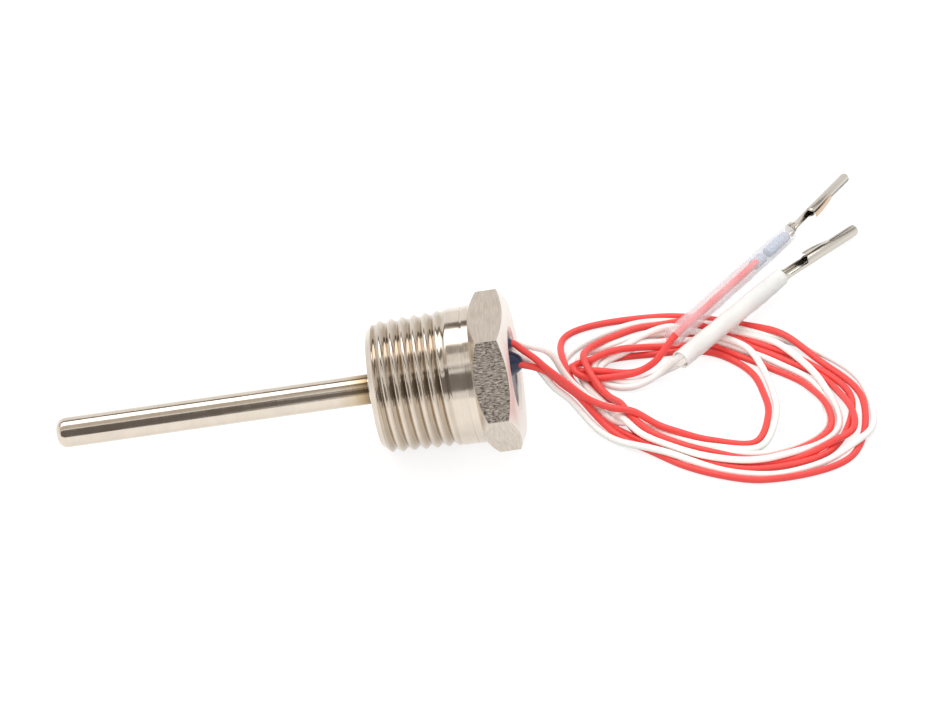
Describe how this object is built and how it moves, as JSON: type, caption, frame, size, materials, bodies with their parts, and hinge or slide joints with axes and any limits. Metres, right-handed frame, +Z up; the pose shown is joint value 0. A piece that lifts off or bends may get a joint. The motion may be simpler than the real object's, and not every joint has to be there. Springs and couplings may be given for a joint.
{
  "type": "rtd_probe",
  "caption": "Resistance temperature probe: closed stainless sheath, chamfered hexagon fitting with a tapered thread, potted rear, and soft leads coiled loosely to sleeved crimp contacts",
  "frame": {"origin": "on the table under the centre of the box round the rigid probe, leads left out", "axes": "X runs level along the sheath from its closed tip toward the leads, Y is level and across it, Z is up from the table"},
  "size_m": [0.1271, 0.075, 0.0224],
  "materials": {
    "stainless": "satin",
    "weld": "satin",
    "nickel": "gloss",
    "copper": "satin",
    "ceramic": "matte",
    "powder": "matte",
    "potting": "gloss",
    "red_lead": "satin",
    "white_lead": "satin",
    "clear_sleeve": "satin"
  },
  "bodies": {
    "root": {"sheath_tube": "stainless", "threaded_fitting": "stainless", "sheath_weld": "weld", "sensing_element": "ceramic", "element_wires": "nickel", "powder_fill": "powder", "junction_beads": "nickel", "bore_insulator": "ceramic", "extension_wires": "nickel", "splice_barrels": "copper", "splice_sleeves": "clear_sleeve", "lead_cores": "copper", "potting_plug": "potting", "red_lead_exit_1": "red_lead", "red_lead_exit_2": "red_lead", "white_lead_exit_1": "white_lead", "white_lead_exit_2": "white_lead", "lead_coil": "red_lead", "red_lead_tail_1": "red_lead", "red_lead_tail_2": "red_lead", "white_lead_tail_1": "white_lead", "white_lead_tail_2": "white_lead", "upper_sleeve": "clear_sleeve", "lower_sleeve": "clear_sleeve", "upper_contact": "nickel", "lower_contact": "nickel", "upper_crimped_cores": "copper", "lower_crimped_cores": "copper"}
  },
  "joints": []
}
